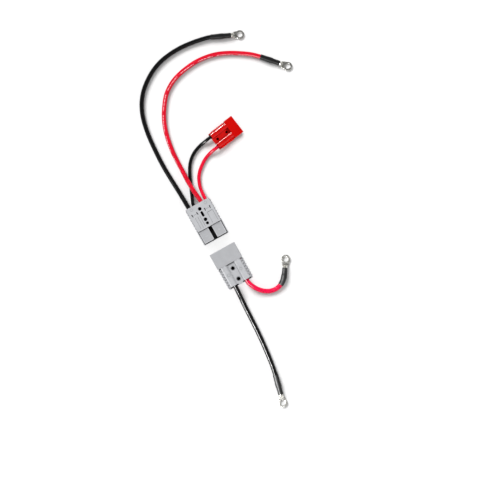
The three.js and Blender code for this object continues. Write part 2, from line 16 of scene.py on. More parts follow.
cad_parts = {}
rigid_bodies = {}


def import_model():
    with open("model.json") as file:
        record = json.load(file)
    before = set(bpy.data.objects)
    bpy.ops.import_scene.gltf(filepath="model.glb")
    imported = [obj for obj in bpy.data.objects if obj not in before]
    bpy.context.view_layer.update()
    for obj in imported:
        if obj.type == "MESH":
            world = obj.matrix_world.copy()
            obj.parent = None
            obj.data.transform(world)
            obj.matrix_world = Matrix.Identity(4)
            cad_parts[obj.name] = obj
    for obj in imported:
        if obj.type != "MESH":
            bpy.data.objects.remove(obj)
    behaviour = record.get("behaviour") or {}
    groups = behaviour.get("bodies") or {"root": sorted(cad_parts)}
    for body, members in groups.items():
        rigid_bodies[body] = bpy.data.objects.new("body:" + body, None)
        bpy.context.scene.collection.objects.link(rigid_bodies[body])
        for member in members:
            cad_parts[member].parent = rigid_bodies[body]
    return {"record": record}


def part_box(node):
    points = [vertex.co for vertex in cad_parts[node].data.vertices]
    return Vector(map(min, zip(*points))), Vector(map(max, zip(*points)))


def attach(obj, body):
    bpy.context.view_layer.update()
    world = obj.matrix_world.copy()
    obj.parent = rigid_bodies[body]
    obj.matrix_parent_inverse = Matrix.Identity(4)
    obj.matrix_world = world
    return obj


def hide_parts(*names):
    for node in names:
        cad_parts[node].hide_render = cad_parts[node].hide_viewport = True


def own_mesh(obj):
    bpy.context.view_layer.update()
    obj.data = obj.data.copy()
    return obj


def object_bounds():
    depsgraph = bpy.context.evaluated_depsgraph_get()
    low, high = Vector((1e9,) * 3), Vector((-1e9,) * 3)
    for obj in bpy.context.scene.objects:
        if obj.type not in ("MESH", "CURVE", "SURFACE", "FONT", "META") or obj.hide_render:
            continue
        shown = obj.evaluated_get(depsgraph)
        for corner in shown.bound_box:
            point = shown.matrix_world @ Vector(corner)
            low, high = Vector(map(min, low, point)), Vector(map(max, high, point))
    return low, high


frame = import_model()
cad_bounds = [list(corner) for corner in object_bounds()]
FLOOR_HEIGHT = cad_bounds[0][2] - 0.0002

MM = 0.001
TO_METRES = Matrix.Scale(MM, 4)
MOUNTS = {mount["name"]: mount for mount in frame["record"]["mounts"]}


# ---- sizes, in millimetres

# Each size is given for the large connector, then for the small one.
BOTH_SIZES = dict(
    length=(64.6, 47.8), width=(45, 32.5), height=(23, 15.8), hood_block=(27, 16.2),
    engagement=(23.4, 14.6),
    hood_plate=(2.5, 2), side_wall=(1.7, 1.4), block_chamfer=(1.2, 0.9), barrier_half=(2.8, 2.3),
    barrier_height=(4.5, 3),
    body_half=(21.4, 15.3), body_chamfer=(0.8, 0.6), shoulder_low=(12.5, 9.4),
    shoulder_high=(17.5, 12.4),
    hump_outer=(17.5, 12.9), hump_drop=(0.6, 0.4), hump_bevel=(1.9, 1.5),
    valley_half=(7, 4.95), valley_slope=(0.8, 0), valley_depth=(4.8, 2.6),
    rib_count=(7, 7), rib_pitch=(5, 3.6), rib_width=(3.4, 2.6), rib_first=(30.4, 19.4),
    rib_height=(1.1, 0.95),
    tongue_inner=(3.1, 2.6), tongue_outer=(20.1, 14.3), tongue_thickness=(3.4, 2.3),
    tongue_setback=(1.7, 1.2),
    panel_border=(1.7, 1.2), step_groove=(0.8, 0.6),
    bore_inner=(2.9, 4.8), bore_outer=(19.3, 14.4), bore_height=(12, 9), bore_depth=(26.6, 20),
    strip=(7.7, 6), notch=(2.6, 1.8),
    passage_half=(6.9, 4.7), passage_height=(12.2, 8.6),
    contact_thickness=(3.25, 1.8), contact_width=(12.2, 8.6), contact_setback=(2.6, 1.8),
    barrel_front=(42, 30.6), barrel_length=(14.5, 10.5), spring_width=(9, 6),
    spring_thickness=(0.5, 0.35),
    mounting_holes=((36.3, 55.4), (21.8, 40.1)), mounting_radius=(2.5, 1.4),
    counterbore_radius=(4, 2.6),
    key_slot=((41.9, 50.4, 3.1), (28, 34, 2)), small_hole=((29.7, 2), (18, 1.2)),
    web_depth=(14, 9),
    latch_y=(50.7, 37.5), latch_x=((7, 16), (6.4, 13)), latch_scale=(1, 0.7),
    frame_x=((7.8, 17.4), (5.6, 12.6)), line_x=((5.4, 9.2, 13.7), (4.4, 7, 10)),
    mark_y=(43, 31), mark_x=(11, 8.9), mark_radius=(2.5, 1.8), ejector_y=(60.1, 44.5),
    ejector_x=(12.8, 9.4),
    pocket=(0.9, 4.3), valley_line=(0.15, 0.5), edge=(0.5, 0.35),
)
LARGE, SMALL = (
    SimpleNamespace(**{name: pair[i] for name, pair in BOTH_SIZES.items()}) for i in (0, 1))
CLEARANCE = 0.3
MID_GAP = 0.15
MARK_DEPTH = 0.3
GROOVE_DEPTH = 1.2
SEAT_DEPTH = 0.8
FULLY_ROUND = 0.998  # a corner's radius as a share of half the width, where an end is round
BARREL_WALL = 0.8
WIRE_GAP = 0.35

LUG = SimpleNamespace(
    ring_radius=7.2, hole_radius=4.3, palm_thickness=1.8,
    palm_half=5.6, palm_half_at_ring=6.4,
    wedge_start=9, sleeve_end=14.1, barrel_start=12.6, barrel_end=27, bore_start=15.5,
)


# ---- where things are

harness_low, harness_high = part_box("harness_housing")
battery_low, battery_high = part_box("battery_housing")
HARNESS_CENTRE = Vector((
    (harness_low.x + harness_high.x) / 2, (harness_low.y + harness_high.y) / 2, 0))

HARNESS_PLACE = (
    Matrix.Translation((HARNESS_CENTRE.x, harness_low.y, harness_high.z))
    @ Matrix.Rotation(math.pi, 4, "X") @ TO_METRES)
BATTERY_PLACE = (
    Matrix.Translation((HARNESS_CENTRE.x, battery_high.y, battery_low.z)) @ TO_METRES)
charger_front = MOUNTS["charger_mating_face"]["pos_m"]
charger_axis = MOUNTS["charger_mating_face"]["axis"]
CHARGER_PLACE = (
    Matrix.Translation((charger_front[0], charger_front[1], 0))
    @ Matrix.Rotation(math.atan2(charger_axis[1], charger_axis[0]) - math.pi / 2, 4, "Z")
    @ TO_METRES)

# Cable routes, as in the CAD model: millimetres from the middle of the harness housing on the
# floor, each from the end of its jacket inside the housing along the middle of the cable. A step
# is the length of one segment in the CAD model. A sleeve is its outer and inner diameter and the
# number of segments that it covers; the jacket ends halfway along it.
LONG = dict(diameter=7.2, wire=4.6, step=16.6, sleeve=(9.2, 8.0, 2))
SHORT = dict(diameter=5.5, wire=3.4, step=12, sleeve=None)
LONG_BLACK = SimpleNamespace(
    name="long_black", **LONG, points=[
        (-15.3, 24.6, 11.5), (-15.3, 30, 11.5), (-15.3, 36, 11.3), (-15.6, 45.8, 9.3),
        (-16, 55.5, 5.7), (-16.4, 65.2, 4.1), (-17.4, 84.5, 3.65), (-18.2, 103.9, 3.6),
        (-18.2, 123.3, 3.6), (-17.2, 142.7, 3.6), (-15.7, 162.2, 3.6), (-12.8, 181.4, 3.6),
        (-8, 200.3, 3.6), (-0.1, 217.7, 3.6), (11.4, 233.3, 3.6), (25.9, 245.9, 3.6),
        (42, 255.9, 3.6), (60.1, 262.9, 3.6), (79.1, 266.2, 3.6), (98, 267, 3.6),
        (117, 265.4, 3.7), (134, 262.5, 4.2), (148, 259, 4.6), (156.9, 255.1, 4.6),
        (168.4, 250.1, 4.6), (180.7, 244.8, 4.6),
    ])
LONG_RED = SimpleNamespace(
    name="long_red", **LONG, points=[
        (7.1, 24.6, 11.5), (7.1, 30, 11.5), (7, 36, 11.4), (6, 45.4, 11), (5.1, 55, 10.3),
        (4.8, 64.8, 9.8), (4.5, 74.5, 8.9), (4.9, 84.2, 6.2), (5.1, 94, 4.1),
        (5.3, 103.6, 3.65), (6.1, 123, 3.6), (8.7, 142.4, 3.6), (13.1, 161.5, 3.6),
        (20.2, 179.5, 3.6), (30, 196.1, 3.6), (42.1, 211.5, 3.6), (57.7, 222.9, 3.6),
        (75.7, 230.1, 3.6), (104.2, 234.7, 3.6), (123.1, 234.1, 3.6), (142.1, 230.4, 3.6),
        (159.9, 223.3, 3.6), (176.8, 213.8, 3.7), (193, 202.7, 4.2), (203.6, 193, 4.6),
        (212.7, 183.2, 4.6), (218.4, 176.9, 4.6), (227.4, 166.95, 4.6),
    ])
SHORT_BLACK = SimpleNamespace(
    name="short_black", **SHORT, points=[
        (-6.5, 24.6, 11.5), (-6.5, 31.5, 11.5), (-5.6, 37, 11.1), (-3.2, 42.8, 9.3),
        (-0.3, 50.1, 5.3), (2.6, 57.5, 3), (5.8, 64.6, 2.75), (9.6, 73.6, 2.75),
        (13.6, 82.1, 2.75), (17.7, 89.6, 2.75), (22.3, 96.1, 2.75), (28, 101.9, 2.75),
        (34.6, 106.7, 2.75), (42, 110.3, 2.75), (49.8, 112.9, 2.9), (56.1, 114.2, 4.2),
        (62.8, 115.2, 6.9), (70.8, 116.4, 7.9), (76.7, 117.3, 7.9),
    ])
SHORT_RED = SimpleNamespace(
    name="short_red", **SHORT, points=[
        (15.8, 24.6, 11.5), (15.8, 30, 11.5), (15.6, 36, 11.3), (15.9, 44, 8.8),
        (16.6, 50.4, 5.4), (18, 56.7, 3.2), (20.3, 63, 2.75), (23.2, 68.9, 2.75),
        (26.9, 74.2, 2.75), (31.4, 79, 2.75), (36.4, 83.1, 2.75), (41.6, 86.9, 2.75),
        (47.1, 90.2, 2.75), (53.1, 92.8, 3), (59.2, 94.7, 4.3), (65.9, 95.8, 7),
        (73.8, 97.04, 7.9), (79.7, 97.96, 7.9),
    ])
BATTERY_RED = SimpleNamespace(
    name="battery_red", diameter=7.6, wire=4.8, step=7.2, sleeve=(9.6, 8.4, 4), points=[
        (10.4, -106.9, 11.5), (10.4, -112, 11.5), (10.5, -116.6, 11.4), (11.8, -122.4, 11),
        (15.4, -130.2, 9.4), (20.6, -137.6, 6.7), (27.2, -143.8, 4.6), (34.9, -148, 3.9),
        (43.6, -149.6, 4), (53, -147.9, 4.5), (60.7, -143.5, 4.9), (66.3, -137.7, 4.9),
        (70.2, -132.2, 4.9), (74, -126.75, 4.9),
    ])
BATTERY_BLACK = SimpleNamespace(
    name="battery_black", diameter=7.6, wire=4.8, step=16.6, sleeve=(9.6, 8.4, 2), points=[
        (-10.4, -106.9, 11.5), (-10.4, -112, 11.5), (-10.7, -118, 11.3), (-11.4, -128, 8.8),
        (-12.2, -140, 4.5), (-13, -153.7, 3.8), (-13.8, -174, 3.8), (-14.8, -195, 3.8),
        (-16.5, -217, 3.8), (-18.7, -238.7, 3.8), (-21, -256, 4.2), (-23.5, -269.6, 4.8),
        (-25.5, -277.9, 4.8), (-28.5, -290, 4.8), (-31.7, -303, 4.8),
    ])

BODY_OF = {
    node: body
    for body, nodes in frame["record"]["behaviour"]["bodies"].items()
    for node in nodes
}


# ---- mesh helpers

def add_object(name, mesh):
    item = bpy.data.objects.new(name, mesh)
    bpy.context.scene.collection.objects.link(item)
    return item


def mesh_of(points, faces):
    mesh = bpy.data.meshes.new("shape")
    mesh.from_pydata(points, [], faces)
    shape = bmesh.new()
    shape.from_mesh(mesh)
    bmesh.ops.recalc_face_normals(shape, faces=shape.faces)
    shape.to_mesh(mesh)
    shape.free()
    return mesh


def loft(rings, looped=False):
    """A closed mesh through rings of equally many points. A looped one is a ring of rings."""
    count = len(rings[0])
    points = [point for ring in rings for point in ring]
    faces = []
    for r in range(len(rings) if looped else len(rings) - 1):
        here = r * count
        there = (r + 1) % len(rings) * count
        for i in range(count):
            j = (i + 1) % count
            faces.append((here + i, here + j, there + j, there + i))
    if not looped:
        faces.append(tuple(range(count)))
        faces.append(tuple(range(len(points) - count, len(points))))
    return mesh_of(points, faces)


def rounded(corners, inset=0.0, steps=3):
    """Points of a counter-clockwise outline of (a, b) or (a, b, radius) corners, moved inwards."""
    points = []
    for i, corner in enumerate(corners):
        here = Vector(corner[:2])
        before = (here - Vector(corners[i - 1][:2])).normalized()
        after = (Vector(corners[(i + 1) % len(corners)][:2]) - here).normalized()
        inward = Vector((-before.y, before.x))
        inward_after = Vector((-after.y, after.x))
        here += (inward + inward_after) * (inset / (1 + inward.dot(inward_after)))
        turn = math.atan2(before.x * after.y - before.y * after.x, before.dot(after))
        if len(corner) == 2 or abs(turn) < 0.01:
            points.append(here)
            continue
        side = math.copysign(1, turn)
        radius = max(corner[2] - side * inset, 0.03)
        start = here - before * radius * math.tan(abs(turn) / 2)
        centre = start + inward * radius * side
        for k in range(steps + 1):
            points.append(centre + Matrix.Rotation(turn * k / steps, 2) @ (start - centre))
    return points


def end_profile(size, steps=3):
    """(inset, distance from the end) pairs that round an end over, or flare it if size < 0."""
    if size == 0:
        return [(0, 0)]
    radius = abs(size)
    pairs = []
    for k in range(steps + 1):
        angle = math.pi / 2 * k / steps
        pairs.append((size * (1 - math.sin(angle)), radius * (1 - math.cos(angle))))
    return pairs if size > 0 else [(size, -1), *pairs]


PLACED_ALONG = {
    "x": lambda a, b, along: (along, a, b),
    "y": lambda a, b, along: (a, along, b),
    "z": lambda a, b, along: (a, b, along),
}


def prism(corners, axis, low, high, ends=(0, 0), steps=3, facets=3):
    """An outline extruded along one axis. Its two ends may be rounded over, or flared."""
    place = PLACED_ALONG[axis]
    stations = [(inset, low + depth) for inset, depth in end_profile(ends[0], facets)]
    stations += [
        (inset, high - depth) for inset, depth in reversed(end_profile(ends[1], facets))]
    return loft([
        [place(*point, along) for point in rounded(corners, inset, steps)]
        for inset, along in stations
    ])


def angles(count, first=0.0):
    """Evenly spaced angles round a full turn. The first is that share of a step from zero."""
    return [2 * math.pi * (k + first) / count for k in range(count)]


def rectangle(x0, x1, y0, y1, radius=0.0):
    corner = (radius,) if radius else ()
    return [(x0, y0, *corner), (x1, y0, *corner), (x1, y1, *corner), (x0, y1, *corner)]


def circle(radius, sides=32, x=0.0, y=0.0):
    return [(x + radius * math.cos(a), y + radius * math.sin(a)) for a in angles(sides, 0.5)]


def bar(x0, x1, y0, y1, low, high, radius=0.0, ends=(0, 0), steps=3):
    """An upright block with a rectangular outline."""
    return prism(rectangle(x0, x1, y0, y1, radius), "z", low, high, ends, steps)


def pin(radius, x, y, low, high, ends=(0, 0), sides=32):
    """An upright round pin."""
    return prism(circle(radius, sides, x, y), "z", low, high, ends)


def mirrored(half):
    """An outline symmetrical about a = 0, from its right half."""
    return [*half, *[(-corner[0], *corner[1:]) for corner in reversed(half)]]


def combine(base, joined=(), cut=()):
    """One mesh from several: some joined to the base, then some cut out of the result."""
    whole = add_object("whole", base)
    tools = []
    for operation, meshes in (("UNION", joined), ("DIFFERENCE", cut)):
        for mesh in meshes:
            tools.append(add_object("tool", mesh))
            step = whole.modifiers.new("step", "BOOLEAN")
            step.solver = "MANIFOLD"
            step.operation = operation
            step.material_mode = "TRANSFER"
            step.object = tools[-1]
    graph = bpy.context.evaluated_depsgraph_get()
    result = bpy.data.meshes.new_from_object(whole.evaluated_get(graph))
    for item in (whole, *tools):
        bpy.data.objects.remove(item)
    return result


def painted(mesh, material):
    """The mesh, with one material all over. Faces that it cuts in another mesh take it too."""
    mesh.materials.clear()
    mesh.materials.append(material)
    return mesh


def add_piece(node, mesh, place, material, sharp=34):
    """Puts a finished mesh where its CAD node is, riding on that node's body."""
    mesh.transform(place)
    mesh.shade_smooth()
    mesh.set_sharp_from_angle(angle=math.radians(sharp))
    if material:
        painted(mesh, material)
    piece = add_object(f"{node}_detail", mesh)
    shading = piece.modifiers.new("shading", "WEIGHTED_NORMAL")
    shading.keep_sharp = True
    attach(piece, BODY_OF[node])
    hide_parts(node)
    return piece


# ---- curves

def catmull_rom(points, samples=12):
    """The centripetal Catmull-Rom curve through points, finely divided."""
    points = [Vector(point) for point in points]
    padded = [2 * points[0] - points[1], *points, 2 * points[-1] - points[-2]]
    fine = []
    for p0, p1, p2, p3 in zip(padded, padded[1:], padded[2:], padded[3:]):
        d0, d1, d2 = (math.sqrt((b - a).length) for a, b in ((p0, p1), (p1, p2), (p2, p3)))
        leave = ((p1 - p0) / d0 - (p2 - p0) / (d0 + d1) + (p2 - p1) / d1) * d1
        reach = ((p2 - p1) / d1 - (p3 - p1) / (d1 + d2) + (p3 - p2) / d2) * d1
        for k in range(samples):
            t = k / samples
            square = 3 * (p2 - p1) - 2 * leave - reach
            cube = 2 * (p1 - p2) + leave + reach
            fine.append(p1 + leave * t + square * t ** 2 + cube * t ** 3)
    return [*fine, points[-1]]


def curve_length(points):
    return sum((b - a).length for a, b in zip(points, points[1:]))


def stretch(points, start, end, spacing):
    """Evenly spaced points of a curve between two distances along it."""
    count = max(2, round((end - start) / spacing))
    wanted = [start + (end - start) * i / count for i in range(count + 1)]
    result = []
    travelled = 0.0
    for a, b in zip(points, points[1:]):
        step = (b - a).length
        while wanted and wanted[0] <= travelled + step + 1e-6:
            result.append(a.lerp(b, min((wanted.pop(0) - travelled) / step, 1)))
        travelled += step
    return result


def sides_and_ups(path):
    """At each point of a path that never stands upright: its level and its upward direction."""
    pairs = []
    for i in range(len(path)):
        along = (path[min(i + 1, len(path) - 1)] - path[max(i - 1, 0)]).normalized()
        level = along.cross(Vector((0, 0, 1))).normalized()
        pairs.append((level, level.cross(along)))
    return pairs


def tube_ring(centre, level, up, radius, count):
    return [
        centre + radius * (math.cos(angle) * level + math.sin(angle) * up)
        for angle in angles(count)]


# ---- camera

# The camera looks straight down, turned about its own axis. It is aimed in metres.
VIEW_UP = Vector((0.486, 0.874, 0)).normalized()
VIEW_RIGHT = Vector((VIEW_UP.y, -VIEW_UP.x, 0))
VIEW_AIM = HARNESS_CENTRE + Vector((0.0322, -0.0521, 0))
VIEW_HEIGHT = 2.4
VIEW_WIDTH = 0.775
SENSOR = 36
SUBJECT_HEIGHT = 0.012  # the height at which the view is VIEW_WIDTH wide


def add_camera():
    data = bpy.data.cameras.new("camera")
    data.sensor_width = SENSOR
    data.lens = SENSOR * (VIEW_HEIGHT - SUBJECT_HEIGHT) / VIEW_WIDTH
    data.clip_end = 20
    camera = add_object("camera", data)
    turned = Matrix((VIEW_RIGHT, VIEW_UP, Vector((0, 0, 1)))).transposed().to_4x4()
    camera.matrix_world = Matrix.Translation(VIEW_AIM + Vector((0, 0, VIEW_HEIGHT))) @ turned
    bpy.context.scene.camera = camera


# ---- materials

class Nodes:
    """A new material or world and its node tree, with short calls for the nodes in use here."""

    def __init__(self, name, kind=bpy.data.materials, shader="Principled BSDF"):
        self.owner = kind.new(name)
        self.owner.use_nodes = True
        self.tree = self.owner.node_tree
        self.shader = self.tree.nodes[shader]

    def add(self, kind, **settings):
        node = self.tree.nodes.new(f"ShaderNode{kind}")
        for name, value in settings.items():
            setattr(node, name, value)
        return node

    def link(self, output, socket):
        if isinstance(output, bpy.types.NodeSocket):
            self.tree.links.new(output, socket)
        else:
            socket.default_value = output

    def math(self, operation, *values):
        node = self.add("Math", operation=operation)
        for value, socket in zip(values, node.inputs):
            self.link(value, socket)
        return node.outputs[0]

    def noise(self, size, detail=3.0, vector=None):
        """Noise with blotches of about size metres, in the row frame unless told otherwise."""
        node = self.add("TexNoise")
        node.inputs["Scale"].default_value = 1 / size
        node.inputs["Detail"].default_value = detail
        self.link(vector or self.add("TexCoord").outputs["Object"], node.inputs["Vector"])
        return node.outputs["Fac"]

    def ramp(self, value, *stops):
        """A colour for each (position, colour) stop."""
        node = self.add("ValToRGB")
        elements = node.color_ramp.elements
        while len(elements) < len(stops):
            elements.new(0.5)
        for element, (position, colour) in zip(elements, stops):
            element.position = position
            element.color = (*colour, 1)
        self.link(value, node.inputs["Fac"])
        return node.outputs["Color"]

    def spread(self, value, low, high):
        """A value from 0.3 to 0.7, as noise gives, spread from low to high."""
        node = self.add("MapRange")
        for socket, number in zip(node.inputs[1:5], (0.3, 0.7, low, high)):
            socket.default_value = number
        self.link(value, node.inputs[0])
        return node.outputs[0]

    def mix(self, factor, first, second):
        node = self.add("Mix", data_type="RGBA")
        self.link(factor, node.inputs[0])
        for value, socket in ((first, node.inputs[6]), (second, node.inputs[7])):
            self.link((*value, 1) if isinstance(value, tuple) else value, socket)
        return node.outputs[2]

    def bump(self, height, depth, strength):
        node = self.add("Bump")
        node.inputs["Distance"].default_value = depth
        node.inputs["Strength"].default_value = strength
        self.link(height, node.inputs["Height"])
        self.link(node.outputs[0], self.shader.inputs["Normal"])

    def set(self, **values):
        """Sets the shader's inputs, such as Base_Color for its Base Color."""
        for name, value in values.items():
            self.link(value, self.shader.inputs[name.replace("_", " ")])


def linear(red, green, blue):
    """A colour given as it looks on a screen, from 0 to 255, for a shader."""
    return tuple(
        c / 12.92 if c <= 0.04045 else ((c + 0.055) / 1.055) ** 2.4
        for c in (red / 255, green / 255, blue / 255))


def shade(colour, factor):
    return tuple(min(c * factor, 1) for c in colour)


def moulded_plastic(name, colour, roughness, specular):
    """Injection-moulded plastic: faint flow blotches and a fine spark-eroded grain."""
    nodes = Nodes(name)
    flow = nodes.noise(0.011, detail=4)
    nodes.set(
        Base_Color=nodes.ramp(flow, (0.3, shade(colour, 0.96)), (0.7, shade(colour, 1.03))),
        Roughness=nodes.spread(nodes.noise(0.004), roughness - 0.04, roughness + 0.05),
        Specular_IOR_Level=specular)
    nodes.bump(nodes.noise(0.00035, detail=2), 0.00002, 0.5)
    return nodes.owner


# A millimetre along a cable counts as a tenth of one in the die lines' noise, so that they are
# long, and round it they run at the radius of a common jacket. All in metres.
DIE_LINE_SCALES = (0.0001, 0.0036, 0.0036)


def cable_vector(nodes):
    """Distance along a cable in millimetres, and the cosine and sine of the angle round it."""
    split = nodes.add("SeparateXYZ")
    nodes.link(nodes.add("Attribute", attribute_name="cable").outputs["Vector"], split.inputs[0])
    return split.outputs


DASH_LINE = 0.982   # cosine of half the angle that the printed line spans
DASH_PITCH = 34.0   # millimetres from the start of one group of dashes to the next
DASH_GROUP = 27.0   # millimetres that a group is long
DASH_BREAK = 0.49   # level of the noise below which the line is broken


def printed_dashes(nodes, start_angle, twist):
    """Where unlettered dashes are printed, along a line that turns slowly round the cable."""
    along, level, up = cable_vector(nodes)
    angle = nodes.math("MULTIPLY_ADD", along, twist, start_angle)
    facing = nodes.math(
        "ADD",
        nodes.math("MULTIPLY", level, nodes.math("COSINE", angle)),
        nodes.math("MULTIPLY", up, nodes.math("SINE", angle)))
    on_line = nodes.math("GREATER_THAN", facing, DASH_LINE)
    line = nodes.add("CombineXYZ")
    nodes.link(nodes.math("MULTIPLY", along, MM), line.inputs[0])
    broken = nodes.noise(0.002, detail=1, vector=line.outputs[0])
    dashed = nodes.math("GREATER_THAN", broken, DASH_BREAK)
    grouped = nodes.math("LESS_THAN", nodes.math("MODULO", along, DASH_PITCH), DASH_GROUP)
    return nodes.math("MULTIPLY", nodes.math("MULTIPLY", dashed, grouped), on_line)


def cable_jacket(name, colour, roughness, dashes=None):
    """Extruded cable jacket: fine lengthwise die lines, over faint blotches."""
    nodes = Nodes(name)
    stretched = nodes.add("CombineXYZ")
    for value, scale, socket in zip(cable_vector(nodes), DIE_LINE_SCALES, stretched.inputs):
        nodes.link(nodes.math("MULTIPLY", value, scale), socket)
    lines = nodes.noise(0.0007, detail=2, vector=stretched.outputs[0])
    base = nodes.ramp(
        nodes.noise(0.009), (0.3, shade(colour, 0.9)), (0.7, shade(colour, 1.08)))
    if dashes:
        base = nodes.mix(printed_dashes(nodes, *dashes), base, linear(232, 182, 190))
    nodes.set(
        Base_Color=base,
        Roughness=nodes.spread(lines, roughness - 0.07, roughness + 0.07),
        Specular_IOR_Level=0.16)
    nodes.bump(lines, 0.00006, 0.6)
    return nodes.owner


def shrink_sleeve(name, colour):
    """Heat-shrink tubing: soft sheen, with fine wrinkles where it was drawn down."""
    nodes = Nodes(name)
    wrinkles = nodes.noise(0.0022, detail=4)
    nodes.set(
        Base_Color=nodes.ramp(
            wrinkles, (0.3, shade(colour, 0.8)), (0.7, shade(colour, 1.25))),
        Roughness=nodes.spread(nodes.noise(0.003), 0.42, 0.6),
        Specular_IOR_Level=0.25)
    nodes.bump(wrinkles, 0.00012, 0.6)
    return nodes.owner


def bright_metal(name, colour, roughness, tarnish):
    """Plated or bare metal: drawn grain, with duller patches where it was handled."""
    nodes = Nodes(name)
    patches = nodes.noise(0.0035, detail=5)
    nodes.set(
        Base_Color=nodes.ramp(patches, (0.36, tarnish), (0.6, colour)),
        Roughness=nodes.spread(nodes.noise(0.0018), roughness - 0.07, roughness + 0.12),
        Metallic=1)
    nodes.bump(nodes.noise(0.0006, detail=2), 0.00003, 0.5)
    return nodes.owner


def plastic_family(name, colour, roughness, specular, panel, rib, band, seam):
    """A housing's glossy skin, matte panels and ribs, and darker copies that paint in shade."""
    def finish(part, factor, rough, gloss):
        return moulded_plastic(f"{name}_{part}", shade(colour, factor), rough, gloss)

    return SimpleNamespace(
        slot=name,
        skin=moulded_plastic(name, colour, roughness, specular),
        panel=finish("panel", panel, roughness + 0.4, 0.04),
        # Ribs are matte, painted a little darker on grey and lighter on red: painted shade and
        # light.
        rib=finish("rib", rib, 0.75, 0.04),
        # Painted half shade: the sloped grip bands, the hole seats and the ejector rings.
        band=finish("band", band, 0.8, 0.05),
        # Painted deep shade: the fine dashes and lines, and the pockets along the valley.
        seam=finish("seam", seam, 0.7, 0.1),
        # Painted shade, nearly black: holes, bores, slots, latches and the hollow of the hood.
        inside=finish("inside", 0.02, 0.85, 0.05))


GREY_PLASTIC = plastic_family(
    "grey_plastic", linear(174, 175, 178), 0.3, 0.3, panel=0.86, rib=0.92, band=0.62, seam=0.3)
# The red ribs are painted 1.3 times lighter than the skin: painted light on the ribs.
RED_PLASTIC = plastic_family(
    "red_plastic", linear(176, 4, 1), 0.16, 0.5, panel=0.97, rib=1.3, band=0.6, seam=0.42)
SILVERED_COPPER = bright_metal(
    "silvered_copper", linear(222, 218, 208), 0.28, linear(188, 178, 158))
SPRING_STEEL = bright_metal("spring_steel", linear(190, 192, 196), 0.26, linear(150, 152, 156))
TINNED_COPPER = bright_metal(
    "tinned_copper", linear(222, 221, 217), 0.3, linear(160, 159, 150))
BARE_COPPER = bright_metal("bare_copper", linear(204, 122, 82), 0.32, linear(150, 84, 54))
BLACK_JACKET = cable_jacket("black_jacket", linear(5, 5, 6), 0.26)
RED_JACKET = cable_jacket("red_jacket", linear(220, 1, 46), 0.28)
BRIGHT_RED_JACKET = cable_jacket("bright_red_jacket", linear(230, 2, 66), 0.26)
PRINTED_RED_JACKET = cable_jacket(
    "printed_red_jacket", linear(206, 1, 36), 0.28, dashes=(math.radians(178), -0.0075))
BLACK_SLEEVE = shrink_sleeve("black_sleeve", linear(12, 12, 13))


# ---- cables, sleeves and lugs

def tube_mesh(path, radius, count=28):
    """A tube with softly rounded ends, and the distance and angle of each point stored on it."""
    pairs = sides_and_ups(path)
    soft = 0.5  # how far the ends are rounded
    rings = [tube_ring(path[0], *pairs[0], radius - soft, count)]
    along = [0.0]
    travelled = 0.0
    for i, (centre, pair) in enumerate(zip(path, pairs)):
        if i:
            travelled += (centre - path[i - 1]).length
        shift = soft * (path[1] - path[0]).normalized() if i == 0 else Vector()
        shift -= soft * (path[-1] - path[-2]).normalized() if i == len(path) - 1 else Vector()
        rings.append(tube_ring(centre + shift, *pair, radius, count))
        along.append(travelled)
    rings.append(tube_ring(path[-1], *pairs[-1], radius - soft, count))
    along.append(travelled)
    mesh = loft(rings)
    store = mesh.attributes.new("cable", "FLOAT_VECTOR", "POINT")
    for r, distance in enumerate(along):
        for k, angle in enumerate(angles(count)):
            store.data[r * count + k].vector = (distance, math.cos(angle), math.sin(angle))
    return mesh


def sleeve_mesh(path, outer, inner, count=32):
    """Shrunk tubing: a bulge over the end of the jacket, drawn down and wrinkled beyond it."""
    pairs = sides_and_ups(path)
    last = len(path) - 1
    outside = []
    inside = []
    for i, (centre, (level, up)) in enumerate(zip(path, pairs)):
        share = i / last
        bulge = math.exp(-((share - 0.5) / 0.16) ** 2)
        drawn = 0.3 if share > 0.62 else 0.0
        ends = 0.25 if i in (0, last) else 0.0
        radius = outer / 2 - 0.35 - drawn + 0.35 * bulge - ends
        ring = []
        for angle in angles(count):
            radial = math.cos(angle) * level + math.sin(angle) * up
            wrinkle = 0.09 * noise.noise(Vector((share * 9, 2 * radial.x, 2 * radial.z + i * 0.02)))
            ring.append(centre + (radius + wrinkle) * radial)
        outside.append(ring)
        inside.append(tube_ring(centre, level, up, inner / 2 - 0.3, count))
    return loft([*outside, *reversed(inside)], looped=True)


def strand_bundle(radius, start, end, strands=9, pitch=18.0):
    """Bare twisted strands along y, as one fluted and twisted rod."""
    rings = []
    steps = max(2, round(abs(end - start) / 0.8))
    for i in range(steps + 1):
        y = start + (end - start) * i / steps
        ring = []
        for angle in angles(strands * 6):
            flute = abs(math.sin(angle * strands / 2))
            turned = angle + 2 * math.pi * y / pitch
            reach = radius * (0.86 + 0.14 * flute)
            ring.append((reach * math.cos(turned), y, reach * math.sin(turned)))
        rings.append(ring)
    return loft(rings)


